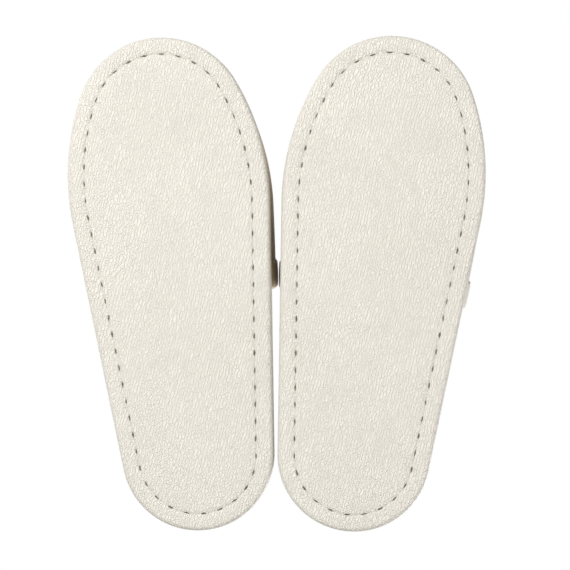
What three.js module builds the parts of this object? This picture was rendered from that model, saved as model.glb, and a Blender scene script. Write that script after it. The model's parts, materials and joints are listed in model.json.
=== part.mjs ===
// A pair of closed-toe spa slippers in cream synthetic leather.
//
// Lengths are in millimetres, +Z is up and +Y is the way the toes point. Each slipper is
// modelled about the middle of its own sole, with the tread on z = 0, and the pair is then
// set side by side along X, toes apart and heels together. The two slippers are alike,
// because the sole is made on a straight last that fits either foot.
//
// A slipper is a stack of flat layers held by a strip of leather that wraps the edge of the
// sole, and an upper of three layers that stands on that strip and closes over the toes.

import * as THREE from 'three';
import { mergeVertices } from 'three/addons/utils/BufferGeometryUtils.js';

// ---------------------------------------------------------------- driving dimensions

// Sole outline, seen from above
const soleLength = 270;
const soleWidth = 109.7;
const toeNarrowing = 8.1; // how much the toe's arc is narrower than the widest half
const heelNarrowing = 13.4; // the same for the heel's arc
const shoulderRadius = 135; // the long arc along each side of the ball of the foot

// Clearance between pieces that touch on the real slipper
const seatGap = 0.3;

// Layers of the sole, from the tread upwards
const leatherThickness = 1.4;
const foamThickness = 6.5;
const boardThickness = 1.4;
const padThickness = 4;
const coverThickness = 1.4;

// Edge strip, a C-shaped section that wraps the edge of the sole
const underFlange = 8.6; // width of the strip under the sole
const topFlange = 8.2; // width of the strip over the insole
const lowerEdgeRadius = 4;
const upperEdgeRadius = 2.4;
const panelBevel = 0.5; // soft edge of the tread panel, and of the insole cover

// Seam that joins the edge strip to the tread panel
const seamGroove = 1.4; // open width between the strip and the panel
const stitchPitch = 9.3;
const threadRadius = 0.35;

// Upper
const upperReach = 141; // from the toe end of the upper back to the sides of its mouth
const upperInset = 1; // from the edge of the sole in to the outside of the upper
const instepHeight = 50; // height of the outside of the upper above the edge strip
const sideBulge = 7.8; // how full the sides are, before they lean out past the sole
const bulgeFade = 2.5; // how fast that fullness fades towards the toe
const throatScoop = 14; // how far the mouth is cut forward over the instep
const shellThickness = 1.2;
const paddingThickness = 1.8;
const liningThickness = 0.8;

// Binding folded over the mouth of the upper, and its seam
const bindingThickness = 1;
const bindingDepth = 13;
const bindingStitchPitch = 6;

// Pair
const toeOutAngle = 6.35; // degrees that each slipper turns its toe outwards
const pairClearance = 0.6; // between the two slippers at their nearest

// Fineness of the facets
const outlineSteps = 64;
const archSteps = 18;
const upperSteps = 10;
const edgeSteps = 2;

// ---------------------------------------------------------------- sole outline

// The outline is four kinds of tangent line: a toe arc, a shoulder arc on each side, a
// straight side and a heel arc. A point on it is known by its outward normal, so an outline
// drawn further in by some inset keeps the same normals and the same arc centres.
const toeRadius = soleWidth / 2 - toeNarrowing;
const heelRadius = soleWidth / 2 - heelNarrowing;
const toeCentre = new THREE.Vector2(0, soleLength / 2 - toeRadius);
const heelCentre = new THREE.Vector2(0, heelRadius - soleLength / 2);
const shoulderDrop = Math.sqrt(
  (shoulderRadius - toeRadius) ** 2 - (shoulderRadius - soleWidth / 2) ** 2);
const shoulderCentre = new THREE.Vector2(
  soleWidth / 2 - shoulderRadius, toeCentre.y - shoulderDrop);

// Angle of the outward normal where the toe arc meets the shoulder arc, and along the side
const toeJoinAngle = toeCentre.clone().sub(shoulderCentre).angle();
const centreLine = shoulderCentre.clone().sub(heelCentre);
const sideAngle = centreLine.angle()
  - Math.acos((heelRadius - shoulderRadius) / centreLine.length());

const normalAt = (angle) => new THREE.Vector2(Math.cos(angle), Math.sin(angle));
const arcPoint = (centre, radius, angle) =>
  normalAt(angle).multiplyScalar(radius).add(centre);

const sideNormal = normalAt(sideAngle);
const sideStart = arcPoint(shoulderCentre, shoulderRadius, sideAngle);
const sideEnd = arcPoint(heelCentre, heelRadius, sideAngle);

// The right half of the outline from the toe to the heel, as stretches of known length
const rightHalf = [
  arcStretch(toeCentre, toeRadius, Math.PI / 2, toeJoinAngle),
  arcStretch(shoulderCentre, shoulderRadius, toeJoinAngle, sideAngle),
  { length: sideStart.distanceTo(sideEnd), at: sidePoint },
  arcStretch(heelCentre, heelRadius, sideAngle, -Math.PI / 2),
];
const halfPerimeter = rightHalf.reduce((sum, stretch) => sum + stretch.length, 0);

function arcStretch(centre, radius, from, to) {
  const at = (share) => {
    const angle = THREE.MathUtils.lerp(from, to, share);
    return { point: arcPoint(centre, radius, angle), normal: normalAt(angle) };
  };
  return { length: radius * (from - to), at };
}

function sidePoint(share) {
  return { point: sideStart.clone().lerp(sideEnd, share), normal: sideNormal.clone() };
}

// The point and outward normal at a distance from the toe, along the right half
function rightHalfAt(distance) {
  let before = 0;
  for (const stretch of rightHalf) {
    const along = distance - before;
    if (along <= stretch.length) return stretch.at(along / stretch.length);
    before += stretch.length;
  }
  return rightHalf[rightHalf.length - 1].at(1);
}

// A point of the outline, going round from the toe by way of the +X side, with turn 0 to 1
function outlineAt(turn, inset) {
  const mirrored = turn > 0.5;
  const { point, normal } = rightHalfAt(2 * halfPerimeter * (mirrored ? 1 - turn : turn));
  point.addScaledVector(normal, -inset);
  return new THREE.Vector2(mirrored ? -point.x : point.x, point.y);
}

// Half the width of the outline at a given y, for an outline drawn further in
function halfWidthAt(y, inset) {
  const onCircle = (centre, radius) =>
    centre.x + Math.sqrt(Math.max((radius - inset) ** 2 - (y - centre.y) ** 2, 0));
  const above = (centre, radius, angle) =>
    y > centre.y + (radius - inset) * Math.sin(angle);
  if (above(toeCentre, toeRadius, toeJoinAngle)) return onCircle(toeCentre, toeRadius);
  if (above(shoulderCentre, shoulderRadius, sideAngle)) {
    return onCircle(shoulderCentre, shoulderRadius);
  }
  if (above(heelCentre, heelRadius, sideAngle)) {
    return (sideEnd.dot(sideNormal) - inset - y * sideNormal.y) / sideNormal.x;
  }
  return onCircle(heelCentre, heelRadius);
}

// ---------------------------------------------------------------- closed surfaces

// A sheet is a grid of points, and a solid is a set of sheets that meet along their edges.
// Each cell of a sheet gives two triangles that face the same way.
function sheetTriangles(sheet, flipped = false) {
  const triangles = [];
  for (let row = 0; row + 1 < sheet.length; row += 1) {
    for (let column = 0; column + 1 < sheet[row].length; column += 1) {
      const a = sheet[row][column];
      const b = sheet[row][column + 1];
      const c = sheet[row + 1][column + 1];
      const d = sheet[row + 1][column];
      triangles.push(flipped ? [a, c, b] : [a, b, c]);
      triangles.push(flipped ? [a, d, c] : [a, c, d]);
    }
  }
  return triangles;
}

// Joins triangles into one solid, leaving out those that have shrunk to a line or a point
function solidOf(triangles) {
  const same = (p, q) => p.distanceTo(q) < 1e-4;
  const corners = triangles
    .filter(([a, b, c]) => !same(a, b) && !same(b, c) && !same(c, a))
    .flat();
  const soup = new THREE.BufferGeometry().setFromPoints(corners);
  const geometry = mergeVertices(soup, 1e-3);
  geometry.computeVertexNormals();
  return geometry;
}

// A ring that follows the outline. sectionAt gives the corners of its section at each turn,
// as insets and heights, going anticlockwise with the inset to the left and z upwards.
function outlineRing(steps, sectionAt) {
  const sheet = [];
  for (let step = 0; step <= steps; step += 1) {
    const turn = (step % steps) / steps;
    const section = sectionAt(step % steps);
    const row = [...section, section[0]].map(([inset, z]) => {
      const { x, y } = outlineAt(turn, inset);
      return new THREE.Vector3(x, y, z);
    });
    sheet.push(row);
  }
  return solidOf(sheetTriangles(sheet));
}

// A flat layer with the sole's outline. profile goes up its edge as insets and heights.
function outlineSlab(profile) {
  const level = ([inset, z]) => {
    const points = [];
    for (let step = 0; step <= outlineSteps; step += 1) {
      const { x, y } = outlineAt((step % outlineSteps) / outlineSteps, inset);
      points.push(new THREE.Vector3(x, y, z));
    }
    return points;
  };
  const edge = profile.map(level);
  const half = outlineSteps / 2;
  const lid = (points) => [
    points.slice(0, half + 1),
    points.slice(half).reverse(),
  ];
  return solidOf([
    ...sheetTriangles(edge, true),
    ...sheetTriangles(lid(edge[0])),
    ...sheetTriangles(lid(edge[edge.length - 1]), true),
  ]);
}

// Corners of a quarter circle in a section, about a centre given as inset and height
function quarterRound(centreInset, centreZ, radius, fromDegrees, toDegrees) {
  const corners = [];
  for (let step = 0; step <= edgeSteps; step += 1) {
    const degrees = THREE.MathUtils.lerp(fromDegrees, toDegrees, step / edgeSteps);
    const angle = THREE.MathUtils.degToRad(degrees);
    corners.push([
      centreInset - radius * Math.cos(angle),
      centreZ + radius * Math.sin(angle),
    ]);
  }
  return corners;
}

// ---------------------------------------------------------------- sole

const foamBottom = leatherThickness + seatGap;
const boardBottom = foamBottom + foamThickness + seatGap;
const padBottom = boardBottom + boardThickness + seatGap;
const coverBottom = padBottom + padThickness + seatGap;
const soleTop = coverBottom + coverThickness;
const coreInset = leatherThickness + seatGap; // the core lies just inside the edge strip
const panelInset = underFlange + seamGroove;
const seamInset = underFlange + seamGroove / 2;

// The edge strip is bent round the edge of the sole, so the core's corners follow its bends
function edgeStrip() {
  const lower = (radius, from, to) =>
    quarterRound(lowerEdgeRadius, lowerEdgeRadius, radius, from, to);
  const upper = (radius, from, to) =>
    quarterRound(upperEdgeRadius, soleTop - upperEdgeRadius, radius, from, to);
  const section = [
    [underFlange, 0],
    ...lower(lowerEdgeRadius, -90, 0),
    ...upper(upperEdgeRadius, 0, 90),
    [topFlange, soleTop],
    [topFlange, soleTop - leatherThickness],
    ...upper(upperEdgeRadius - leatherThickness, 90, 0),
    ...lower(lowerEdgeRadius - leatherThickness, 0, -90),
    [underFlange, leatherThickness],
  ];
  return outlineRing(outlineSteps, () => section);
}

function treadPanel() {
  return outlineSlab([
    [panelInset + panelBevel, 0],
    [panelInset, panelBevel],
    [panelInset, leatherThickness],
  ]);
}

function midsoleFoam() {
  const bend = lowerEdgeRadius - coreInset;
  return outlineSlab([
    ...quarterRound(lowerEdgeRadius, lowerEdgeRadius, bend, -90, 0),
    [coreInset, foamBottom + foamThickness],
  ]);
}

function insoleBoard() {
  return outlineSlab([
    [coreInset, boardBottom],
    [coreInset, boardBottom + boardThickness],
  ]);
}

function insolePad() {
  const bend = upperEdgeRadius - coreInset;
  const padTop = padBottom + padThickness;
  return outlineSlab([
    [coreInset, padBottom],
    [coreInset, padTop - bend],
    [coreInset + bend, padTop],
  ]);
}

function insoleCover() {
  const inset = topFlange + seatGap;
  return outlineSlab([
    [inset, coverBottom],
    [inset, soleTop - panelBevel],
    [inset + panelBevel, soleTop],
  ]);
}

// A thread of square section that dips into a needle hole between one stitch and the next
function threadSection(across, height) {
  return [
    [across + threadRadius, height],
    [across, height - threadRadius],
    [across - threadRadius, height],
    [across, height + threadRadius],
  ];
}

function soleSeamThread() {
  const seamLength = 2 * (halfPerimeter - Math.PI * seamInset);
  const stitches = Math.round(seamLength / stitchPitch);
  const onSurface = threadRadius + 0.1;
  const inHole = foamBottom - seatGap - threadRadius;
  return outlineRing(2 * stitches, (step) =>
    threadSection(seamInset, step % 2 ? onSurface : inHole));
}

// ---------------------------------------------------------------- upper

const upperBase = soleTop + seatGap;
const mouthY = soleLength / 2 - upperInset - upperReach;
const paddingDepth = shellThickness + seatGap;
const liningDepth = paddingDepth + paddingThickness + seatGap;
const stackDepth = liningDepth + liningThickness;

// A point of the upper. arch turns over the instep from the +X side (0) to the -X side (PI),
// fromMouth is the distance from the mouth towards the toe as a share (1 is the toe's end),
// and depth is how far the point lies inside the outer skin.
function upperPoint(arch, share, depth) {
  const mouth = mouthY + throatScoop * Math.sin(arch) ** 2;
  const toeEnd = soleLength / 2 - upperInset - depth;
  const rise = Math.cos(share * Math.PI / 2);
  const y = mouth + (toeEnd - mouth) * Math.sin(share * Math.PI / 2);
  const halfWidth = halfWidthAt(y, upperInset + depth);
  const bulge = sideBulge * rise ** bulgeFade * Math.sin(2 * arch);
  const x = halfWidth * Math.cos(arch) + bulge;
  const z = upperBase + (instepHeight - depth) * rise * Math.sin(arch);
  return new THREE.Vector3(x, y, z);
}

// The share that lies a given number of millimetres ahead of the mouth
function shareAhead(distance) {
  return Math.asin(distance / upperReach) * 2 / Math.PI;
}

// One layer of the upper, between two depths
function upperLayer(outerDepth, thickness) {
  const innerDepth = outerDepth + thickness;
  const at = (i, j, depth) =>
    upperPoint(Math.PI * i / archSteps, j / upperSteps, depth);
  const skin = (depth) => {
    const rows = [];
    for (let i = 0; i <= archSteps; i += 1) {
      const row = [];
      for (let j = 0; j <= upperSteps; j += 1) row.push(at(i, j, depth));
      rows.push(row);
    }
    return rows;
  };
  const outer = skin(outerDepth);
  const inner = skin(innerDepth);
  const mouthEdge = [outer.map((row) => row[0]), inner.map((row) => row[0])];
  return solidOf([
    ...sheetTriangles(outer),
    ...sheetTriangles(inner, true),
    ...sheetTriangles(mouthEdge),
    ...sheetTriangles([outer[0], inner[0]], true),
    ...sheetTriangles([outer[archSteps], inner[archSteps]]),
  ]);
}

// A strip that runs over the instep. sectionAt gives the corners of its section at each
// step, as distances ahead of the mouth and depths below the outer skin.
function archStrip(steps, sectionAt) {
  const rows = [];
  for (let step = 0; step <= steps; step += 1) {
    const section = sectionAt(step);
    rows.push([...section, section[0]].map(([ahead, depth]) =>
      upperPoint(Math.PI * step / steps, shareAhead(ahead), depth)));
  }
  const flat = sectionAt(0).map(([ahead, depth]) => new THREE.Vector2(ahead, depth));
  const lid = THREE.ShapeUtils.triangulateShape(flat, []);
  const end = (row, order) => lid.map((corners) => order(corners.map((n) => row[n])));
  return solidOf([
    ...sheetTriangles(rows, true),
    ...end(rows[0], ([a, b, c]) => [a, c, b]),
    ...end(rows[steps], ([a, b, c]) => [a, b, c]),
  ]);
}

// The binding is a strip folded over the mouth, so its section is a U round all the layers
function throatBinding() {
  const outerLeg = -seatGap;
  const innerLeg = stackDepth + seatGap;
  const fold = -seatGap;
  const section = [
    [bindingDepth, outerLeg - bindingThickness],
    [fold - bindingThickness, outerLeg - bindingThickness],
    [fold - bindingThickness, innerLeg + bindingThickness],
    [bindingDepth, innerLeg + bindingThickness],
    [bindingDepth, innerLeg],
    [fold, innerLeg],
    [fold, outerLeg],
    [bindingDepth, outerLeg],
  ];
  return archStrip(archSteps, () => section);
}

// The seam that holds the binding shows as a thread in the ditch along its outer edge
function throatSeamThread() {
  const seamAhead = bindingDepth + seatGap + threadRadius;
  const archLength = Math.PI * (soleWidth / 2 + instepHeight) / 2;
  const stitches = Math.round(archLength / bindingStitchPitch);
  const low = -seatGap - threadRadius;
  const high = low - threadRadius;
  return archStrip(2 * stitches, (step) =>
    threadSection(seamAhead, step % 2 ? high : low));
}

// ---------------------------------------------------------------- materials

const finishes = {
  leather: { color: '#e7e2d6', roughness: 0.55 },
  upperLeather: { color: '#e9e4d8', roughness: 0.55 },
  trimLeather: { color: '#e2dccf', roughness: 0.5 },
  foam: { color: '#f4f3ee', roughness: 0.9 },
  board: { color: '#b99f7a', roughness: 0.85 },
  fabric: { color: '#eeeae0', roughness: 0.95 },
  thread: { color: '#f1ede2', roughness: 0.8 },
};

// ---------------------------------------------------------------- slippers

const pieces = {
  tread_panel: [treadPanel, 'leather'],
  edge_strip: [edgeStrip, 'leather'],
  sole_seam_thread: [soleSeamThread, 'thread'],
  midsole_foam: [midsoleFoam, 'foam'],
  insole_board: [insoleBoard, 'board'],
  insole_pad: [insolePad, 'foam'],
  insole_cover: [insoleCover, 'fabric'],
  upper_shell: [() => upperLayer(0, shellThickness), 'upperLeather'],
  upper_padding: [() => upperLayer(paddingDepth, paddingThickness), 'foam'],
  upper_lining: [() => upperLayer(liningDepth, liningThickness), 'fabric'],
  throat_binding: [throatBinding, 'trimLeather'],
  throat_seam_thread: [throatSeamThread, 'thread'],
};

function slipper(side) {
  const group = new THREE.Group();
  for (const [name, [shape, finish]] of Object.entries(pieces)) {
    const material = new THREE.MeshStandardMaterial({ metalness: 0, ...finishes[finish] });
    const mesh = new THREE.Mesh(shape(), material);
    mesh.name = `${side}_${name}`;
    group.add(mesh);
  }
  return group;
}

// How far a slipper, once turned, reaches past its own centre towards the other one
function innerReach(turned) {
  turned.updateMatrixWorld(true);
  return new THREE.Box3().setFromObject(turned, true).max.x;
}

// The wearer's left slipper lies on the -X side and the right one on the +X side
const pair = new THREE.Group();
const left = slipper('left');
const right = slipper('right');
left.rotation.z = THREE.MathUtils.degToRad(toeOutAngle);
right.rotation.z = -left.rotation.z;
const standOff = innerReach(left) + pairClearance / 2;
left.position.x = -standOff;
right.position.x = standOff;
pair.add(left, right);

// The origin is the middle of the pair, on the floor
const outer = new THREE.Box3().setFromObject(pair, true);
pair.position.y = -(outer.min.y + outer.max.y) / 2;

export default pair;
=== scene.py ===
import json
import math

import bpy
import numpy as np
from mathutils import Matrix, Vector


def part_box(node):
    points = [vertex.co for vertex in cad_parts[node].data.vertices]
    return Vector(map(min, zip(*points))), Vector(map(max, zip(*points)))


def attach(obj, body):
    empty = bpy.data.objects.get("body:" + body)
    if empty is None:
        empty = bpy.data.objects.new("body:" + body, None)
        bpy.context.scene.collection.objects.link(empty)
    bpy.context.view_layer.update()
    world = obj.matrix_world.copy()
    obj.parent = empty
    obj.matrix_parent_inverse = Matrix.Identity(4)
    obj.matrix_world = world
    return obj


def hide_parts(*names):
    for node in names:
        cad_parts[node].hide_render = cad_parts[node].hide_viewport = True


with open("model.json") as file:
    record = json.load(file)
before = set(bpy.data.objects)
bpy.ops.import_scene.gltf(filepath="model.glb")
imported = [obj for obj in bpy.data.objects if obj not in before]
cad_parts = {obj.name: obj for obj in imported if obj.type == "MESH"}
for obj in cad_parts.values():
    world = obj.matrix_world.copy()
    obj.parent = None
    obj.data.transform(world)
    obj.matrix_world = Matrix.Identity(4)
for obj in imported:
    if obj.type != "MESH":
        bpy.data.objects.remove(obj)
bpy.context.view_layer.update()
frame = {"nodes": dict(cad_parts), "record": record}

MOUNTS = {mount["name"]: mount for mount in frame["record"]["mounts"]}
MM = 0.001

# ---------------------------------------------------------------- sizes, in metres

SOLE_LENGTH = 270 * MM
SOLE_WIDTH = 109.7 * MM
TOE_RADIUS = SOLE_WIDTH / 2 - 8.1 * MM
HEEL_RADIUS = SOLE_WIDTH / 2 - 13.4 * MM
SHOULDER_RADIUS = 135 * MM
SOLE_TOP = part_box("left_insole_cover")[1].z
LEATHER = 1.4 * MM
TOE_OUT = math.radians(6.35)

SEAM_INSET = 9.3 * MM      # from the edge of the sole to the seam underneath
STITCH_PITCH = 9.3 * MM
SEAM_STEP = 0.66 * MM      # spacing of the mesh along the sole's edge
LIP_GAP = 0.04 * MM        # half the gap between the two leathers, between stitches
SLIT_GAP = 0.1 * MM       # the same where a stitch pulls them apart
SLIT_LENGTH = 1.4 * MM    # half the length of that opening
CREASE_DEPTH = 0.34 * MM
STITCH_DEPTH = 0.44 * MM
TOP_FLANGE = 8.2 * MM      # the edge strip over the insole

UPPER_BASE = SOLE_TOP + 0.3 * MM
LASTED_FOOT = 0.1 * MM     # how far the foot of the upper is pressed into the sole
UPPER_INSET = 1 * MM
UPPER_REACH = 141 * MM
INSTEP_HEIGHT = 50 * MM
SIDE_BULGE = 7.8 * MM
BULGE_FADE = 2.5
THROAT_SCOOP = 14 * MM
SHELL = 1.2 * MM
PADDING = (1.5 * MM, 1.8 * MM)   # depth below the outer skin, and thickness
LINING = (3.6 * MM, 0.8 * MM)
STACK = LINING[0] + LINING[1]
BINDING_DEPTH = 13 * MM
BINDING = 1 * MM

# ---------------------------------------------------------------- sole outline

TOE_CENTRE = np.array([0, SOLE_LENGTH / 2 - TOE_RADIUS])
HEEL_CENTRE = np.array([0, HEEL_RADIUS - SOLE_LENGTH / 2])
SHOULDER_DROP = math.sqrt(
    (SHOULDER_RADIUS - TOE_RADIUS) ** 2 - (SHOULDER_RADIUS - SOLE_WIDTH / 2) ** 2)
SHOULDER_CENTRE = np.array([SOLE_WIDTH / 2 - SHOULDER_RADIUS, TOE_CENTRE[1] - SHOULDER_DROP])


def direction(angle):
    return np.array([math.cos(angle), math.sin(angle)])


def angle_of(vector):
    return math.atan2(vector[1], vector[0])


TOE_JOIN = angle_of(TOE_CENTRE - SHOULDER_CENTRE)
CENTRE_LINE = SHOULDER_CENTRE - HEEL_CENTRE
SIDE_ANGLE = angle_of(CENTRE_LINE) - math.acos(
    (HEEL_RADIUS - SHOULDER_RADIUS) / np.linalg.norm(CENTRE_LINE))
SIDE_START = SHOULDER_CENTRE + SHOULDER_RADIUS * direction(SIDE_ANGLE)
SIDE_END = HEEL_CENTRE + HEEL_RADIUS * direction(SIDE_ANGLE)
SIDE_LENGTH = np.linalg.norm(SIDE_END - SIDE_START)
SIDE_RUN = (SIDE_END - SIDE_START) / SIDE_LENGTH
SEAM_LENGTHS = [
    (TOE_RADIUS - SEAM_INSET) * (math.pi / 2 - TOE_JOIN),
    (SHOULDER_RADIUS - SEAM_INSET) * (TOE_JOIN - SIDE_ANGLE),
    SIDE_LENGTH,
    (HEEL_RADIUS - SEAM_INSET) * (SIDE_ANGLE + math.pi / 2),
]
SEAM_HALF = sum(SEAM_LENGTHS)
STITCHES = round(2 * SEAM_HALF / STITCH_PITCH)
PITCH = 2 * SEAM_HALF / STITCHES


def outline_place(co):
    """Where points lie on the sole: the distance round the seam from the toe, the inset
    from the edge, and the outward normal."""
    x = np.abs(co[:, 0])
    y = co[:, 1]
    point = np.stack([x, y], 1)

    def polar(centre, radius):
        away = point - centre
        r = np.maximum(np.linalg.norm(away, axis=1), 1e-9)
        return np.arctan2(away[:, 1], away[:, 0]), radius - r, away / r[:, None]

    toe_angle, toe_inset, toe_normal = polar(TOE_CENTRE, TOE_RADIUS)
    shoulder_angle, shoulder_inset, shoulder_normal = polar(SHOULDER_CENTRE, SHOULDER_RADIUS)
    heel_angle, heel_inset, heel_normal = polar(HEEL_CENTRE, HEEL_RADIUS)
    side_normal = direction(SIDE_ANGLE)
    run = (point - SIDE_START) @ SIDE_RUN
    side_inset = -(point - SIDE_START) @ side_normal

    before = np.cumsum([0, *SEAM_LENGTHS])
    on_toe = (toe_angle >= TOE_JOIN) & (y > TOE_CENTRE[1] - TOE_RADIUS)
    on_side = ~on_toe & (run >= 0) & (run <= SIDE_LENGTH)
    on_heel = ~on_toe & (run > SIDE_LENGTH)
    distance = np.where(
        on_toe, (TOE_RADIUS - SEAM_INSET) * (math.pi / 2 - toe_angle),
        np.where(on_heel, before[3] + (HEEL_RADIUS - SEAM_INSET) * (SIDE_ANGLE - heel_angle),
                 np.where(on_side, before[2] + run,
                          before[1] + (SHOULDER_RADIUS - SEAM_INSET)
                          * (TOE_JOIN - shoulder_angle))))
    inset = np.where(on_toe, toe_inset,
                     np.where(on_heel, heel_inset,
                              np.where(on_side, side_inset, shoulder_inset)))
    normal = np.where(on_toe[:, None], toe_normal,
                      np.where(on_heel[:, None], heel_normal,
                               np.where(on_side[:, None], side_normal, shoulder_normal)))
    mirrored = co[:, 0] < 0
    distance = np.where(mirrored, 2 * SEAM_HALF - distance, distance)
    normal = np.stack([np.where(mirrored, -normal[:, 0], normal[:, 0]), normal[:, 1]], 1)
    return distance, inset, normal


def half_width(y, inset):
    """Half the width of the sole outline, drawn further in by an inset, at each y."""
    def on_circle(centre, radius):
        return centre[0] + np.sqrt(np.maximum((radius - inset) ** 2 - (y - centre[1]) ** 2, 0))

    def above(centre, radius, angle):
        return y > centre[1] + (radius - inset) * math.sin(angle)

    nx, ny = direction(SIDE_ANGLE)
    side = (SIDE_END @ direction(SIDE_ANGLE) - inset - y * ny) / nx
    return np.where(
        above(TOE_CENTRE, TOE_RADIUS, TOE_JOIN), on_circle(TOE_CENTRE, TOE_RADIUS),
        np.where(above(SHOULDER_CENTRE, SHOULDER_RADIUS, SIDE_ANGLE),
                 on_circle(SHOULDER_CENTRE, SHOULDER_RADIUS),
                 np.where(above(HEEL_CENTRE, HEEL_RADIUS, SIDE_ANGLE), side,
                          on_circle(HEEL_CENTRE, HEEL_RADIUS))))


# ---------------------------------------------------------------- modelling helpers

def begin(add, **settings):
    """Adds a primitive on its own and opens it for editing, with all of it selected."""
    if bpy.context.mode != "OBJECT":
        bpy.ops.object.mode_set(mode="OBJECT")
    bpy.ops.object.select_all(action="DESELECT")
    add(**settings)
    bpy.ops.object.mode_set(mode="EDIT")
    bpy.ops.mesh.select_mode(type="VERT")
    bpy.ops.mesh.select_all(action="SELECT")
    return bpy.context.active_object


def finish_mesh(piece, name, smooth=math.radians(50)):
    """Closes editing, with doubles merged, faces outwards and soft edges smooth."""
    bpy.ops.mesh.select_all(action="SELECT")
    bpy.ops.mesh.remove_doubles(threshold=0.004 * MM)
    bpy.ops.mesh.normals_make_consistent(inside=False)
    bpy.ops.object.mode_set(mode="OBJECT")
    bpy.ops.object.transform_apply(location=True, rotation=True, scale=True)
    if smooth:
        bpy.ops.object.shade_smooth_by_angle(angle=smooth)
    piece.name = name
    piece.data.name = name
    return piece


def points_of(piece):
    co = np.empty(len(piece.data.vertices) * 3)
    piece.data.vertices.foreach_get("co", co)
    return co.reshape(-1, 3)


def put_points(piece, co):
    piece.data.vertices.foreach_set("co", co.ravel())
    piece.data.update()


def select_edges(piece, test):
    """Selects the open border edges whose two ends pass a test."""
    bpy.ops.mesh.select_all(action="DESELECT")
    bpy.ops.mesh.select_mode(type="EDGE")
    bpy.ops.object.mode_set(mode="OBJECT")
    faces = np.zeros(len(piece.data.edges), int)
    index = np.empty(len(piece.data.loops), int)
    piece.data.loops.foreach_get("edge_index", index)
    np.add.at(faces, index, 1)
    co = points_of(piece)
    for edge in piece.data.edges:
        if faces[edge.index] < 2 and all(test(co[v]) for v in edge.vertices):
            edge.select = True
    bpy.ops.object.mode_set(mode="EDIT")


def draw_section(points, closed):
    """Draws a section at the toe, from points given as insets and heights."""
    def place(inset, z):
        return Vector((0, SOLE_LENGTH / 2 - inset, z))

    piece = begin(bpy.ops.mesh.primitive_plane_add, size=MM, location=place(*points[0]))
    bpy.ops.mesh.merge(type="CENTER")
    for here, there in zip(points, points[1:]):
        step = place(*there) - place(*here)
        bpy.ops.mesh.extrude_region_move(TRANSFORM_OT_translate={"value": step})
    bpy.ops.mesh.select_all(action="SELECT")
    if closed:
        bpy.ops.object.mode_set(mode="OBJECT")
        ends = {0, len(points) - 1}
        for vertex in piece.data.vertices:
            vertex.select = vertex.index in ends
        for edge in piece.data.edges:
            edge.select = False
        bpy.ops.object.mode_set(mode="EDIT")
        bpy.ops.mesh.edge_face_add()
        bpy.ops.mesh.select_all(action="SELECT")
    return piece


def sweep_round_sole(step):
    """Carries the selected section round the sole: toe arc, shoulder arc, straight side and
    heel arc on one side, and then the mirrored half."""
    def turn(centre, radius, from_angle, to_angle):
        steps = max(2, round((radius - SEAM_INSET) * (from_angle - to_angle) / step))
        bpy.ops.mesh.spin(
            steps=steps, angle=from_angle - to_angle, center=(centre[0], centre[1], 0),
            axis=(0, 0, 1))

    turn(TOE_CENTRE, TOE_RADIUS, math.pi / 2, TOE_JOIN)
    turn(SHOULDER_CENTRE, SHOULDER_RADIUS, TOE_JOIN, SIDE_ANGLE)
    runs = max(2, round(SIDE_LENGTH / step))
    along = Vector((*SIDE_RUN, 0)) * (SIDE_LENGTH / runs)
    for _ in range(runs):
        bpy.ops.mesh.extrude_region_move(TRANSFORM_OT_translate={"value": along})
    turn(HEEL_CENTRE, HEEL_RADIUS, SIDE_ANGLE, -math.pi / 2)
    bpy.ops.mesh.select_all(action="SELECT")
    bpy.ops.mesh.symmetrize(direction="POSITIVE_X", threshold=0.01 * MM)


def close_rims(piece, test):
    """Fills each open rim whose points pass a test with one flat face."""
    select_edges(piece, test)
    bpy.ops.mesh.edge_face_add()


def mm(pairs):
    return [(a * MM, b * MM) for a, b in pairs]


def bend(centre_inset, centre_z, radius, start, stop, steps):
    """Points of an arc in a section, in millimetres and degrees."""
    angles = np.radians(np.linspace(start, stop, steps + 1))
    return [(centre_inset - radius * math.cos(a), centre_z + radius * math.sin(a)) for a in angles]


# ---------------------------------------------------------------- seam under the sole

random_stitch = np.random.default_rng(11)
STITCH_PULL = random_stitch.uniform(0.75, 1.15, STITCHES)
STITCH_SLIT = random_stitch.uniform(0.55, 1.2, STITCHES)
STITCH_GAPE = random_stitch.uniform(0.2, 1.15, STITCHES)
STITCH_SLANT = random_stitch.uniform(-0.02, 0.16, STITCHES)
PLEAT = random_stitch.uniform(0.0, 0.12, (2, STITCHES)) * MM


def stitch_at(distance):
    """The number of the nearest stitch, and how far along the seam it lies."""
    number = np.floor(distance / PITCH).astype(int) % STITCHES
    return number, (distance / PITCH % 1 - 0.5) * PITCH


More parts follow.
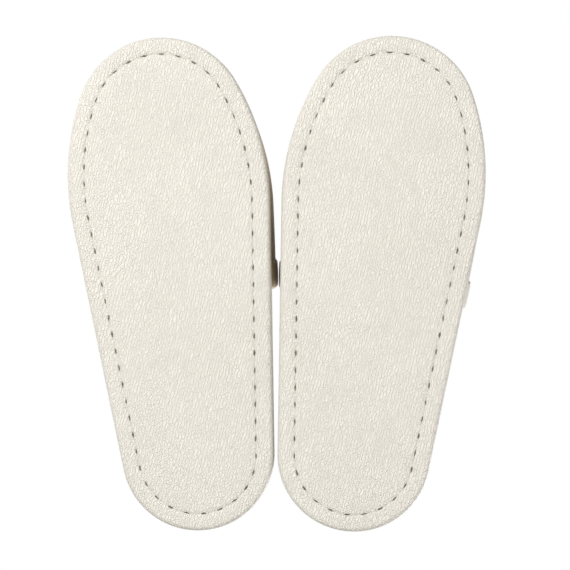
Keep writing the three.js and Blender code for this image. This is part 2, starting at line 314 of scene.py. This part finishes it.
def pull_seam(piece, side):
    """Draws the leather in along the seam: a crease all the way, a deeper pull and a short
    slit at each stitch, and faint pleats that run out from it. side is 1 for the tread
    panel, inside the seam, and -1 for the edge strip outside it."""
    co = points_of(piece)
    distance, inset, normal = outline_place(co)
    number, along = stitch_at(distance)
    away = np.abs(inset - SEAM_INSET)
    near_floor = co[:, 2] < 3 * MM
    crease = CREASE_DEPTH * np.clip(1 - away / (2.4 * MM), 0, 1) ** 2
    pull = STITCH_DEPTH * STITCH_PULL[number]
    pull = pull * np.exp(-(away / (0.8 * MM)) ** 2 - (along / (1.6 * MM)) ** 2)
    reach = np.exp(-(away / (6 * MM)) ** 2) * np.clip(away / (1 * MM), 0, 1)
    pleat = PLEAT[0 if side > 0 else 1][number] * reach * np.exp(-(along / (1.1 * MM)) ** 2)
    slack = 0.1 * MM * np.cos(2 * math.pi * along / PITCH) * np.exp(-(away / (2.5 * MM)) ** 2)
    co[:, 2] += np.where(near_floor, crease + pull + pleat - slack + 0.1 * MM, 0)
    slit = np.exp(-(along / (SLIT_LENGTH * STITCH_SLIT[number])) ** 4)
    gape = side * (SLIT_GAP - LIP_GAP) * STITCH_GAPE[number] * slit
    gape = gape * np.exp(-(away / (0.7 * MM)) ** 2)
    askew = STITCH_SLANT[number] * along * slit * np.exp(-(away / (1.2 * MM)) ** 2)
    co[:, :2] -= normal * np.where(near_floor, gape + askew, 0)[:, None]
    put_points(piece, co)


def sole_piece(name, section, closed, step=SEAM_STEP, rims=None):
    piece = draw_section(mm(section), closed)
    sweep_round_sole(step)
    if rims is not None:
        close_rims(piece, lambda p: p[2] < rims * MM)
        close_rims(piece, lambda p: p[2] > rims * MM)
    return finish_mesh(piece, name)


def make_tread_panel():
    """The sheet under the sole: flat in the middle, turned up into the seam all round."""
    lip = SEAM_INSET / MM + LIP_GAP / MM
    run_out = [31, 25, 20, 16, 13.5, 12.4, 11.6, 11, 10.6, 10.3, 10.05, 9.85, 9.7, 9.55]
    floor = [(inset, 0.012 * max(16 - inset, 0) ** 2 / 2) for inset in run_out]
    section = [
        *floor,
        (lip + 0.03, 0.42), (lip, 0.7), (lip, 1.1), (lip + 0.1, 1.45),
        (10.3, 1.6), (12, 1.5), (16, 1.4), (31, 1.4),
    ]
    panel = sole_piece("tread_panel", section, closed=False, rims=0.7)
    pull_seam(panel, 1)
    return panel


def make_edge_strip():
    """The strip that wraps the edge of the sole, from the seam to the rim of the insole."""
    lip = SEAM_INSET / MM - LIP_GAP / MM
    top = SOLE_TOP / MM
    run_in = [9.05, 8.9, 8.75, 8.55, 8.3, 8.0, 7.6, 7.0, 6.2, 5.3]
    floor = [(inset, 0.02 * max(inset - 5, 0) ** 2) for inset in run_in]
    wall = [(-0.05, 5), (-0.15, 7.5), (-0.2, 9.5), (-0.12, 11.5)]
    section = [
        *floor,
        *bend(2.8, 2.8, 2.8, -90, 0, 7),
        *wall,
        *bend(2.4, top - 2.4, 2.4, 0, 90, 5),
        (3.6, top + 0.12), (5, top + 0.16), (6.4, top + 0.08), (7.4, top - 0.12),
        (8.0, top - 0.45), (8.2, top - 0.9), (8.0, top - 1.3),
        (6.5, top - 1.4),
        *bend(2.4, top - 2.4, 1.0, 90, 0, 3),
        *bend(2.8, 2.8, 1.4, 0, -90, 3),
        (6.5, 1.45), (8, 1.6), (lip - 0.25, 1.6), (lip - 0.08, 1.4), (lip, 1.05), (lip, 0.7),
        (lip - 0.03, 0.42),
    ]
    strip = sole_piece("edge_strip", section, closed=True)
    pull_seam(strip, -1)
    return strip


def make_sole_thread():
    """One thread that runs under the closed leather and dives into a hole at each stitch."""
    centre = SEAM_INSET / MM
    ring = [(centre + 0.34 * math.cos(a), 1.15 + 0.34 * math.sin(a))
            for a in np.arange(8) * math.pi / 4]
    thread = sole_piece("sole_seam_thread", ring, closed=True)
    co = points_of(thread)
    number, along = stitch_at(outline_place(co)[0])
    co[:, 2] += 2.2 * MM * np.exp(-(along / (1.1 * MM)) ** 4)
    put_points(thread, co)
    return thread


def make_midsole_foam():
    """The foam of the sole, with the channel that the seam is drawn up into."""
    section = [
        (31, 1.75), (14, 1.75), (11.9, 1.8), (11.3, 2.6), (10.9, 4.6), (10.2, 5.2),
        (8.4, 5.2), (7.7, 4.6), (7.3, 2.6), (6.7, 1.75),
        *bend(4, 4, 2.25, -90, 0, 4), (1.75, 8.1), (31, 8.15),
    ]
    return sole_piece("midsole_foam", section, closed=False, step=2 * MM, rims=5)


def make_insole_pad():
    """The soft pad under the foot, pressed in at its edge and a little crowned."""
    section = [
        (31, 10.25), (3, 10.25), (2, 10.6), (1.75, 11.6), (1.8, 12.8), (2.4, 13.7),
        (3.4, 14.1), (8, 14.15), (31, 14.15),
    ]
    return sole_piece("insole_pad", section, closed=False, step=3 * MM, rims=12)


def make_insole_cover():
    """The fabric that the foot rests on, tucked in along the edge strip."""
    top = SOLE_TOP / MM
    rise = [30, 25, 21, 17.5, 15, 13, 11.6, 10.6, 9.9, 9.4, 9.05, 8.8]
    crown = [(inset, top + 0.9 - 1.7 * math.exp(-(inset - 8.6) / 3.2)) for inset in rise]
    section = [
        *crown, (8.62, top - 0.95), (8.6, top - 1.2), (8.8, 14.5), (12, 14.45), (30, 14.45),
    ]
    cover = sole_piece("insole_cover", section, closed=False, step=1.5 * MM, rims=15)
    co = points_of(cover)
    on_top = co[:, 2] > 14.9 * MM
    soft = sum(np.sin(co[:, 0] * a + b) * np.sin(co[:, 1] * c + d)
               for a, b, c, d in [(95, 1, 61, 2), (172, 4, 118, 1), (260, 2, 231, 5)])
    co[:, 2] += np.where(on_top, 0.09 * MM * soft, 0)
    put_points(cover, co)
    return cover


# ---------------------------------------------------------------- upper

def upper_point(arch, share, depth):
    """A point of the upper: arch turns over the instep, share runs from the mouth to the
    toe, and depth is how far it lies inside the outer skin."""
    arch, share, depth = np.broadcast_arrays(arch, share, depth)
    mouth = SOLE_LENGTH / 2 - UPPER_INSET - UPPER_REACH + THROAT_SCOOP * np.sin(arch) ** 2
    toe_end = SOLE_LENGTH / 2 - UPPER_INSET - depth
    rise = np.cos(share * math.pi / 2)
    y = mouth + (toe_end - mouth) * np.sin(share * math.pi / 2)
    bulge = SIDE_BULGE * np.maximum(rise, 0) ** BULGE_FADE * np.sin(2 * arch)
    x = half_width(y, UPPER_INSET + depth) * np.cos(arch) + bulge
    z = UPPER_BASE + (INSTEP_HEIGHT - depth) * rise * np.sin(arch)
    return np.stack([x, y, z], -1)


def share_ahead(distance):
    return np.arcsin(distance / UPPER_REACH) * 2 / math.pi


def last_upper_skin():
    """A quarter of a ball, drawn over the last: its pole is the toe and its cut the mouth."""
    skin = begin(
        bpy.ops.mesh.primitive_uv_sphere_add, segments=224, ring_count=144, radius=1,
        location=(0, 0, 0))
    bpy.ops.object.mode_set(mode="OBJECT")
    skin.data.transform(Matrix.Rotation(-math.pi / 2, 4, "X"))
    bpy.ops.object.mode_set(mode="EDIT")
    for plane in ((0, 1, 0), (0, 0, 1)):
        bpy.ops.mesh.select_all(action="SELECT")
        bpy.ops.mesh.bisect(
            plane_co=(0, 0, 0), plane_no=plane, clear_inner=True, threshold=1e-4)
    bpy.ops.object.mode_set(mode="OBJECT")
    co = points_of(skin)
    arch = np.arctan2(np.maximum(co[:, 2], 0), co[:, 0])
    share = np.arcsin(np.clip(co[:, 1], 0, 1)) * 2 / math.pi
    put_points(skin, upper_point(arch, share, 0))
    bpy.ops.object.mode_set(mode="EDIT")
    return finish_mesh(skin, "upper_skin"), arch, share


def let_leather_settle(skin, held):
    """Lets the skin settle as cloth under a little pressure from the padding, held where
    held is 1, and keeps the move small."""
    start = points_of(skin)
    group = skin.vertex_groups.new(name="held")
    for index, weight in enumerate(held):
        group.add([index], float(weight), "REPLACE")
    cloth = skin.modifiers.new("settle", "CLOTH")
    settings = cloth.settings
    settings.quality = 6
    settings.mass = 0.25
    settings.tension_stiffness = 18
    settings.compression_stiffness = 14
    settings.shear_stiffness = 8
    settings.bending_stiffness = 0.6
    settings.shrink_min = -0.012
    settings.use_pressure = True
    settings.uniform_pressure_force = 1.2
    settings.vertex_group_mass = "held"
    settings.effector_weights.gravity = 0
    cloth.collision_settings.use_collision = False
    cloth.point_cache.frame_start = 1
    cloth.point_cache.frame_end = 24
    for number in range(1, 21):
        bpy.context.scene.frame_set(number)
    settled = skin.evaluated_get(bpy.context.evaluated_depsgraph_get()).to_mesh()
    co = np.empty(len(settled.vertices) * 3)
    settled.vertices.foreach_get("co", co)
    move = co.reshape(-1, 3) - start
    skin.modifiers.remove(cloth)
    skin.vertex_groups.remove(group)
    bpy.context.scene.frame_set(1)
    size = np.linalg.norm(move, axis=1)
    print("leather settled by up to", round(size.max() / MM, 2), "mm, mean", round(size.mean() / MM, 2))
    cap = 2.2 * MM
    move *= (np.minimum(size, cap) / np.maximum(size, 1e-9))[:, None]
    put_points(skin, start + move * (1 - held)[:, None])


def layer_from_skin(skin, name, depth, thickness):
    """A layer of the upper, laid a given depth inside the skin, with its foot on the sole."""
    foot = points_of(skin)[:, 2] < UPPER_BASE + 0.02 * MM
    bpy.ops.object.select_all(action="DESELECT")
    skin.select_set(True)
    bpy.context.view_layer.objects.active = skin
    bpy.ops.object.duplicate()
    layer = bpy.context.active_object
    bpy.ops.object.mode_set(mode="EDIT")
    bpy.ops.mesh.select_all(action="SELECT")
    if depth:
        bpy.ops.transform.shrink_fatten(value=-depth)
    bpy.ops.object.mode_set(mode="OBJECT")
    wall = layer.modifiers.new("wall", "SOLIDIFY")
    wall.thickness = thickness
    wall.offset = -1
    bpy.ops.object.modifier_apply(modifier=wall.name)
    co = points_of(layer)
    co[np.tile(foot, 2), 2] = SOLE_TOP - LASTED_FOOT
    put_points(layer, co)
    bpy.ops.object.shade_smooth_by_angle(angle=math.radians(50))
    layer.name = name
    layer.data.name = name
    return layer


def make_throat_binding():
    """A leather strip folded over the mouth: a flat strip, bent to a U and laid over the arch."""
    clear = 0.12 * MM
    outside = -clear - BINDING
    inside = STACK + clear + BINDING
    middle = (outside + inside) / 2
    half = (inside - outside) / 2
    fold = 1.7 * MM
    turn = np.linspace(0, math.pi, 13)
    leg = np.array([12.2, 8.5, 4.4, 0.8]) * MM
    puff = np.array([0, 0.15, 0.15, 0.02]) * MM
    outer = [(BINDING_DEPTH - 0.05 * MM, outside + 0.75 * MM), (BINDING_DEPTH, outside + 0.4 * MM),
             (BINDING_DEPTH - 0.25 * MM, outside + 0.1 * MM)]
    outer += [(a, outside - p) for a, p in zip(leg, puff)]
    outer += [(-fold * math.sin(t) ** 0.8, middle - half * math.cos(t)) for t in turn]
    outer += [(a, inside + p) for a, p in zip(leg[::-1], puff[::-1])]
    outer += [(BINDING_DEPTH - 0.25 * MM, inside - 0.1 * MM), (BINDING_DEPTH, inside - 0.4 * MM),
              (BINDING_DEPTH - 0.05 * MM, inside - 0.75 * MM)]
    inner = [(BINDING_DEPTH - 0.3 * MM, STACK + clear), (0, STACK + clear)]
    inner += [(-(fold - BINDING) * 0.9, middle)]
    inner += [(0, -clear), (BINDING_DEPTH - 0.3 * MM, -clear)]
    section = np.array(outer + inner)
    count = len(section)
    steps = 150
    strip = begin(
        bpy.ops.mesh.primitive_grid_add, x_subdivisions=steps, y_subdivisions=count, size=1,
        location=(0, 0, 0))
    bpy.ops.object.mode_set(mode="OBJECT")
    co = points_of(strip)
    arch = (co[:, 0] + 0.5) * math.pi
    column = np.rint((co[:, 1] + 0.5) * count).astype(int) % count
    placed = upper_point(arch, share_ahead(section[column, 0]), section[column, 1])
    placed[:, 2] -= np.where((arch < 0.01) | (arch > math.pi - 0.01), 0.22 * MM, 0)
    put_points(strip, placed)
    bpy.ops.object.mode_set(mode="EDIT")
    bpy.ops.mesh.select_all(action="SELECT")
    bpy.ops.mesh.remove_doubles(threshold=0.004 * MM)
    close_rims(strip, lambda p: p[0] > 0)
    close_rims(strip, lambda p: p[0] < 0)
    return finish_mesh(strip, "throat_binding")


def make_throat_thread():
    """The stitches along the binding: one rounded stitch, copied along the ditch beside it."""
    stitch = begin(
        bpy.ops.mesh.primitive_uv_sphere_add, segments=10, ring_count=8, radius=0.36 * MM,
        location=(0, 0, 0), rotation=(math.pi / 2, 0, 0))
    finish_mesh(stitch, "stitch")
    co = points_of(stitch)
    co[:, 1] += np.sign(np.round(co[:, 1] / MM, 4)) * 1.75 * MM
    co[:, 2] -= 0.3 * MM * (co[:, 1] / (2 * MM)) ** 2
    put_points(stitch, co)
    ahead = BINDING_DEPTH + 0.45 * MM
    lift = -0.1 * MM
    fine = np.linspace(0.012, math.pi - 0.012, 2000)
    line = upper_point(fine, share_ahead(ahead), lift)
    run = np.concatenate([[0], np.cumsum(np.linalg.norm(np.diff(line, axis=0), axis=1))])
    count = round(run[-1] / (5.2 * MM))
    copies = []
    for number in range(count):
        middle = (number + 0.5) / count * run[-1]
        arch = np.interp(middle, run, fine)
        before, here, after = (
            upper_point(arch + turn, share_ahead(ahead), lift) for turn in (-0.01, 0, 0.01))
        out = here - upper_point(arch, share_ahead(ahead), lift + 1 * MM)
        along = Vector(after - before).normalized()
        up = (Vector(out) - along * Vector(out).dot(along)).normalized()
        side = along.cross(up)
        turned = Matrix((side, along, up)).transposed().to_4x4()
        copy = stitch.copy()
        copy.data = stitch.data.copy()
        copy.data.transform(Matrix.Translation(here) @ turned)
        bpy.context.collection.objects.link(copy)
        copies.append(copy)
    bpy.ops.object.select_all(action="DESELECT")
    bpy.data.objects.remove(stitch)
    for copy in copies:
        copy.select_set(True)
    bpy.context.view_layer.objects.active = copies[0]
    bpy.ops.object.join()
    thread = bpy.context.active_object
    thread.name = "throat_seam_thread"
    return thread


# ---------------------------------------------------------------- finishes

class Number:
    """A shader value that takes part in Python sums, adding its Math nodes as it goes."""

    def __init__(self, finish, socket):
        self.finish = finish
        self.socket = socket

    def __add__(self, other):
        return self.finish.maths("ADD", self, other)

    def __sub__(self, other):
        return self.finish.maths("SUBTRACT", self, other)

    def __rsub__(self, other):
        return self.finish.maths("SUBTRACT", other, self)

    def __mul__(self, other):
        return self.finish.maths("MULTIPLY", self, other)

    __radd__ = __add__
    __rmul__ = __mul__


class Finish:
    """One material, built node by node."""

    def __init__(self, name):
        self.material = bpy.data.materials.new(name)
        self.material.use_nodes = True
        self.tree = self.material.node_tree
        self.tree.nodes.clear()

    def node(self, kind, settings=(), **inputs):
        node = self.tree.nodes.new("ShaderNode" + kind)
        for key, value in dict(settings).items():
            setattr(node, key, value)
        for key, value in inputs.items():
            name = key.replace("_", " ")
            socket = node.inputs[int(name)] if name.isdigit() else node.inputs[name]
            self.feed(socket, value)
        return node

    def feed(self, socket, value):
        if isinstance(value, Number):
            value = value.socket
        if isinstance(value, bpy.types.NodeSocket):
            self.tree.links.new(value, socket)
        else:
            socket.default_value = value

    def number(self, kind, output, settings=(), **inputs):
        return Number(self, self.node(kind, settings, **inputs).outputs[output])

    def maths(self, operation, *terms):
        node = self.node("Math", {"operation": operation})
        for socket, term in zip(node.inputs, terms):
            self.feed(socket, term)
        return Number(self, node.outputs[0])

    def clamp(self, value, low=0.0, high=1.0):
        return self.maths("MINIMUM", self.maths("MAXIMUM", value, low), high)

    def blend(self, factor, first, second):
        node = self.node("Mix", {"data_type": "RGBA"})
        self.feed(node.inputs["Factor"], factor)
        self.feed(node.inputs["A"], first)
        self.feed(node.inputs["B"], second)
        return node.outputs["Result"]

    def vector(self, operation, *terms):
        node = self.node("VectorMath", {"operation": operation})
        for socket, term in zip(node.inputs, terms):
            self.feed(socket, term)
        return node.outputs[0]

    def here(self, stretch=(1, 1, 1), turn=0.0):
        """Places on the piece, turned about Z and then stretched along the axes."""
        place = self.node("TexCoord").outputs["Object"]
        turned = self.node("Mapping", Vector=place, Rotation=(0, 0, turn)).outputs[0]
        return self.node("Mapping", Vector=turned, Scale=stretch).outputs[0]

    def wander(self, place, scale, reach):
        """Places moved about by a noise, by up to half the reach each way."""
        noise = self.node("TexNoise", Vector=place, Scale=scale, Detail=1)
        shift = self.vector("SUBTRACT", noise.outputs["Color"], (0.5, 0.5, 0.5))
        shift = self.vector("MULTIPLY", shift, (reach, reach, reach))
        return self.vector("ADD", place, shift)

    def noise(self, place, scale, detail=2.0, roughness=0.5):
        return self.number(
            "TexNoise", 0, Vector=place, Scale=scale, Detail=detail, Roughness=roughness)

    def surface(self, colour, roughness, height, depth, strength=1.0, **fixed):
        """The shader itself, with its relief, linked to the output."""
        bump = self.node("Bump", Height=height, Distance=depth, Strength=strength)
        shader = self.node("BsdfPrincipled", Base_Color=colour, Roughness=roughness,
                           Normal=bump.outputs[0], **fixed)
        output = self.node("OutputMaterial", Surface=shader.outputs[0])
        output.is_active_output = True
        return self.material


def srgb(red, green, blue):
    """A colour given as it is seen, 0 to 255, as the light values that a shader takes."""
    def linear(value):
        value /= 255
        return value / 12.92 if value <= 0.04045 else ((value + 0.055) / 1.055) ** 2.4
    return (linear(red), linear(green), linear(blue), 1.0)


GRAIN_STROKE = 1.6 * MM
GRAIN_BREAK = 4.5
GRAIN_CELL = 6
GRAIN_DEPTH = 0.37 * MM
GRAIN_TURN = math.radians(-14)
GRAIN_LEAN = 1.0           # sideways shift of the strokes with height, up a standing edge


def synthetic_leather(name, colour, hollow, relief=1.0, gloss=0.46, curved=False):
    """Coated fabric, embossed with a fine grain of short strokes that run lengthwise and a
    little askew. On curved leather they slant, so that they show whichever way it faces."""
    f = Finish(name)
    place = f.here(turn=GRAIN_TURN)
    height = f.number("SeparateXYZ", "Z", Vector=place)
    lean = f.node("CombineXYZ", X=height * GRAIN_LEAN).outputs[0]
    drawn = f.wander(f.vector("ADD", place, lean), 20, 0.005)
    stroke = f.number(
        "TexWave", "Fac", {"bands_direction": "DIAGONAL" if curved else "X"}, Vector=drawn,
        Scale=math.pi / ((6 if curved else 10) * GRAIN_STROKE),
        Distortion=GRAIN_BREAK, Detail=0.0, Detail_Scale=GRAIN_CELL)
    small = f.noise(drawn, 1300, 2, 0.5)
    patch = f.noise(place, 11, 1)
    height = stroke + small * 0.6
    hollows = f.clamp(0.7 - stroke)
    seam = f.number("Attribute", "Fac", {"attribute_name": "seam_shade"})
    painted_warm_shade = f.number("Attribute", "Fac", {"attribute_name": "painted_warm_shade"})
    tone = f.blend(hollows * 0.7 + (patch - 0.5) * 0.5, colour, hollow)
    # Painted shade: the walls of the seam are darker, so the stitch slits show dark.
    tone = f.blend(seam, tone, srgb(158, 148, 131))
    # Painted warm shade, low on the sides where the two slippers face each other.
    tone = f.blend(painted_warm_shade, tone, srgb(204, 171, 116))
    rough = gloss + (small - 0.5) * 0.16 + hollows * 0.1
    return f.surface(tone, rough, height, GRAIN_DEPTH * relief, 1.0,
                     Specular_IOR_Level=0.4)


def knitted_fabric(name, colour, hollow, rib=0.0013):
    """Brushed knit: fine ribs broken up by a soft nap."""
    f = Finish(name)
    place = f.here()
    wander = f.node("TexNoise", Vector=place, Scale=380, Detail=2)
    shift = f.vector("SUBTRACT", wander.outputs["Color"], (0.5, 0.5, 0.5))
    shift = f.vector("MULTIPLY", shift, (rib * 0.5, rib * 0.5, rib * 0.5))
    soft = f.vector("ADD", place, shift)
    bands = 2 * math.pi / (20 * rib)
    across = f.number("TexWave", "Fac", {"bands_direction": "X"}, Vector=soft, Scale=bands)
    along = f.number("TexWave", "Fac", {"bands_direction": "Y"}, Vector=soft, Scale=bands * 0.8)
    nap = f.noise(place, 2400, 3, 0.65)
    slow = f.noise(place, 30, 2)
    stitch = across * along
    height = stitch * 0.7 + nap * 0.5 + slow * 0.3
    tone = f.blend(f.clamp(0.62 - stitch * 0.5 - (nap - 0.5) * 0.5), colour, hollow)
    tone = f.blend(f.clamp((slow - 0.4) * 0.6), tone, hollow)
    rough = 0.88 + (nap - 0.5) * 0.12
    return f.surface(tone, rough, height, 0.00055, 0.9, Sheen_Weight=0.25, Sheen_Roughness=0.6)


def closed_cell_foam(name, colour, hollow):
    """Pressed foam with fine round pores."""
    f = Finish(name)
    place = f.here()
    pore = f.number("TexVoronoi", "Distance", Vector=place, Scale=1400)
    slow = f.noise(place, 60, 2)
    seam = f.number("Attribute", "Fac", {"attribute_name": "seam_shade"})
    tone = f.blend(f.clamp(0.4 - pore), colour, hollow)
    tone = f.blend(f.clamp((slow - 0.45) * 0.8), tone, hollow)
    # Painted shade: the channel that the seam is drawn into is darker, so the stitch holes show dark.
    tone = f.blend(seam, tone, srgb(70, 62, 52))
    return f.surface(tone, 0.9 + (slow - 0.5) * 0.1, pore, 0.0002, 0.6)


def fibre_board(name, colour, hollow):
    """Pressed fibre board, with short fibres lying lengthwise."""
    f = Finish(name)
    fibre = f.noise(f.here((6, 1, 1)), 500, 4, 0.6)
    slow = f.noise(f.here(), 25, 2)
    tone = f.blend(f.clamp(fibre * 1.6 - 0.4), colour, hollow)
    tone = f.blend(f.clamp((slow - 0.4) * 0.7), tone, hollow)
    return f.surface(tone, 0.82 + (fibre - 0.5) * 0.15, fibre, 0.00012, 0.7)


def twisted_thread(name, colour, hollow):
    """Sewing thread, with the twist of its plies."""
    f = Finish(name)
    place = f.here()
    twist = f.number("TexWave", "Fac", {"bands_direction": "DIAGONAL"},
                     Vector=place, Scale=math.pi / (10 * 0.0007), Distortion=1.2)
    fuzz = f.noise(place, 5200, 2)
    tone = f.blend(f.clamp(0.75 - twist * 0.7 + (fuzz - 0.5) * 0.4), colour, hollow)
    return f.surface(tone, 0.72 + (fuzz - 0.5) * 0.2, twist + fuzz * 0.4, 0.00008, 0.9)


# ---------------------------------------------------------------- studio

def pale_floor():
    """A pale floor for views from above. From below it is seen through, and light that has
    come to the eye through it passes it again, so the soles are lit as if it weren't there."""
    bpy.ops.object.select_all(action="DESELECT")
    bpy.ops.mesh.primitive_plane_add(size=8, location=(0, 0, -0.35 * MM))
    floor = bpy.context.active_object
    floor.name = "floor"
    f = Finish("pale floor")
    slow = f.noise(f.here(), 3, 2)
    tone = f.blend(slow, srgb(240, 240, 238), srgb(236, 236, 235))
    top = f.node("BsdfPrincipled", Base_Color=tone, Roughness=0.85)
    clear = f.node("BsdfTransparent")
    below = f.number("NewGeometry", "Backfacing")
    passed = f.number("LightPath", "Transparent Depth")
    seen_through = f.clamp(below + passed)
    both = f.node("MixShader", **{"0": seen_through, "1": top.outputs[0], "2": clear.outputs[0]})
    f.node("OutputMaterial", Surface=both.outputs[0])
    floor.data.materials.append(f.material)


def studio_world(lit, seen):
    """White all round where it is seen, and softer where it lights the slippers."""
    world = bpy.data.worlds.new("studio")
    world.use_nodes = True
    tree = world.node_tree
    tree.nodes.clear()
    path = tree.nodes.new("ShaderNodeLightPath")
    output = tree.nodes.new("ShaderNodeOutputWorld")
    mix = tree.nodes.new("ShaderNodeMixShader")
    tree.links.new(path.outputs["Is Camera Ray"], mix.inputs[0])
    for slot, (colour, strength) in enumerate((lit, seen), start=1):
        background = tree.nodes.new("ShaderNodeBackground")
        background.inputs["Color"].default_value = (*colour, 1)
        background.inputs["Strength"].default_value = strength
        tree.links.new(background.outputs[0], mix.inputs[slot])
    tree.links.new(mix.outputs[0], output.inputs[0])
    bpy.context.scene.world = world


def soft_light(name, place, size, watts, colour=(1, 1, 1)):
    light = bpy.data.lights.new(name, "AREA")
    light.size = size
    light.energy = watts
    light.color = colour
    lamp = bpy.data.objects.new(name, light)
    lamp.location = place
    lamp.rotation_euler = (-Vector(place)).to_track_quat("-Z", "Y").to_euler()
    lamp.visible_camera = False
    bpy.context.collection.objects.link(lamp)


def look_up_camera(target, distance, view_width, lean):
    """A long lens under the pair, looking up at the soles with the toes at the top of the
    frame. lean moves it round towards the -X side."""
    lens = bpy.data.cameras.new("camera")
    lens.sensor_width = 36
    lens.lens = 36 * distance / view_width
    lens.clip_end = 10
    camera = bpy.data.objects.new("camera", lens)
    back = Vector((-math.sin(lean), 0, -math.cos(lean)))
    up = Vector((0, 1, 0))
    right = up.cross(back)
    turn = Matrix((right, up, back)).transposed().to_4x4()
    camera.matrix_world = Matrix.Translation(Vector(target) + back * distance) @ turn
    bpy.context.collection.objects.link(camera)
    bpy.context.scene.camera = camera


look_up_camera(target=(-5.4 * MM, -0.6 * MM, 0), distance=1.05, view_width=309.2 * MM,
               lean=math.radians(3.4))
pale_floor()
studio_world(lit=((1.0, 0.99, 0.97), 0.58), seen=((1, 1, 1), 1.0))
soft_light("under_key", (0.66, 0.66, -1.05), 0.8, 15.4)
soft_light("under_fill", (-0.8, -0.5, -1.0), 1.2, 3)
soft_light("top_key", (-0.8, -0.7, 1.2), 0.9, 17)
soft_light("top_fill", (0.9, 0.4, 0.9), 1.2, 6)
bpy.context.scene.view_settings.view_transform = "Standard"

# ---------------------------------------------------------------- slippers

SOLE_LEATHER = synthetic_leather("cream sole leather", srgb(237, 233, 223), srgb(224, 219, 207))
UPPER_LEATHER = synthetic_leather(
    "cream upper leather", srgb(236, 232, 223), srgb(219, 213, 200), relief=1.2, curved=True)
TRIM_LEATHER = synthetic_leather(
    "cream trim leather", srgb(233, 228, 217), srgb(216, 210, 197), relief=0.9, curved=True)
FOAM = closed_cell_foam("white foam", srgb(243, 241, 235), srgb(226, 223, 214))
BOARD = fibre_board("fibre board", srgb(186, 160, 124), srgb(158, 132, 97))
FABRIC = knitted_fabric("cream knit", srgb(240, 237, 229), srgb(206, 200, 186))
THREAD = twisted_thread("cream thread", srgb(242, 238, 228), srgb(214, 207, 192))


def mark(piece, name, amount):
    """Writes how far each point of a piece takes a painted tint: seam_shade is painted shade on the
    walls of the seam and in its channel, and the other tint is painted warm shade low on the sides
    where the two slippers face each other."""
    shade = piece.data.attributes.new(name, "FLOAT", "POINT")
    shade.data.foreach_set("value", amount.astype(np.float32))


def inner_side(co):
    """1 on the side that faces the other slipper, where the painted warm shade goes, fading out over
    the middle and before the toe."""
    return np.clip(co[:, 0] / (35 * MM), 0.05, 1) * np.clip((115 * MM - co[:, 1]) / (40 * MM), 0, 1)


def painted_shade_at_foot(piece):
    """Painted warm shade beside the glue line at the foot of the upper, on the side that faces the
    other slipper: 0.6 at the foot, and 0 from 22 mm up.
    """
    co = points_of(piece)
    height = np.clip(1 - (co[:, 2] - UPPER_BASE) / (22 * MM), 0, 1)
    return 0.6 * height * inner_side(co)


def place_pair(piece, material):
    """Puts a piece in the left slipper, and its mirrored twin in the right one."""
    centre = Vector(MOUNTS["left_sole_rest"]["pos_m"])
    centre.z = 0
    piece.data.materials.clear()
    piece.data.materials.append(material)
    name = piece.name
    piece.data.transform(Matrix.Translation(centre) @ Matrix.Rotation(TOE_OUT, 4, "Z"))
    twin = piece.copy()
    twin.data = piece.data.copy()
    bpy.context.collection.objects.link(twin)
    twin.data.transform(Matrix.Scale(-1, 4, (1, 0, 0)))
    twin.data.flip_normals()
    for made, side in ((piece, "left"), (twin, "right")):
        made.name = f"{side}_{name}_soft"
        made.data.name = made.name
        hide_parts(f"{side}_{name}")
        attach(made, f"{side}_slipper")


def build_sole():
    lips = {}
    for piece in (make_tread_panel(), make_edge_strip()):
        lips[piece.name] = piece
    for piece in lips.values():
        co = points_of(piece)
        inset = outline_place(co)[1]
        away = np.abs(inset - SEAM_INSET)
        # Painted shade on the walls of the seam near the stitches.
        mark(piece, "seam_shade", (away < 0.62 * MM) & (co[:, 2] > 0.8 * MM) & (co[:, 2] < 4 * MM))
        # Painted warm shade on the wall of the edge strip, on the side that faces the other slipper.
        wall = np.clip((co[:, 2] - 3 * MM) / (6 * MM), 0, 1) * (inset < 2 * MM)
        beside_upper = np.clip((co[:, 1] + 8 * MM) / (14 * MM), 0, 1)
        mark(piece, "painted_warm_shade", 0.45 * wall * inner_side(co) * beside_upper)
        place_pair(piece, SOLE_LEATHER)
    place_pair(make_sole_thread(), THREAD)
    foam = make_midsole_foam()
    co = points_of(foam)
    inset = outline_place(co)[1]
    # Painted shade in the foam's seam channel.
    channel = (inset > 7.2 * MM) & (inset < 11.6 * MM) & (co[:, 2] < 6 * MM) & (co[:, 2] > 2 * MM)
    mark(foam, "seam_shade", channel)
    place_pair(foam, FOAM)
    place_pair(make_insole_pad(), FOAM)
    place_pair(make_insole_cover(), FABRIC)
    for side in ("left", "right"):
        board = frame["nodes"][f"{side}_insole_board"]
        for entry in board.material_slots:
            entry.material = BOARD


def build_upper():
    skin, arch, share = last_upper_skin()
    ahead = np.sin(share * math.pi / 2) * UPPER_REACH
    low = 1 - np.clip((np.sin(arch) - 0.25) / 0.35, 0, 1)
    near_mouth = 1 - np.clip((ahead - 14 * MM) / (12 * MM), 0, 1)
    held = np.clip(np.maximum(low, near_mouth), 0, 1)
    let_leather_settle(skin, held)
    shell = layer_from_skin(skin, "upper_shell", 0, SHELL)
    # Painted warm shade at the foot of the upper, on the side that faces the other slipper.
    mark(shell, "painted_warm_shade", painted_shade_at_foot(shell))
    place_pair(shell, UPPER_LEATHER)
    place_pair(layer_from_skin(skin, "upper_padding", *PADDING), FOAM)
    place_pair(layer_from_skin(skin, "upper_lining", *LINING), FABRIC)
    bpy.data.objects.remove(skin)
    binding = make_throat_binding()
    # Painted warm shade at the ends of the binding, on the side that faces the other slipper.
    mark(binding, "painted_warm_shade", painted_shade_at_foot(binding))
    place_pair(binding, TRIM_LEATHER)
    place_pair(make_throat_thread(), THREAD)


build_sole()
build_upper()
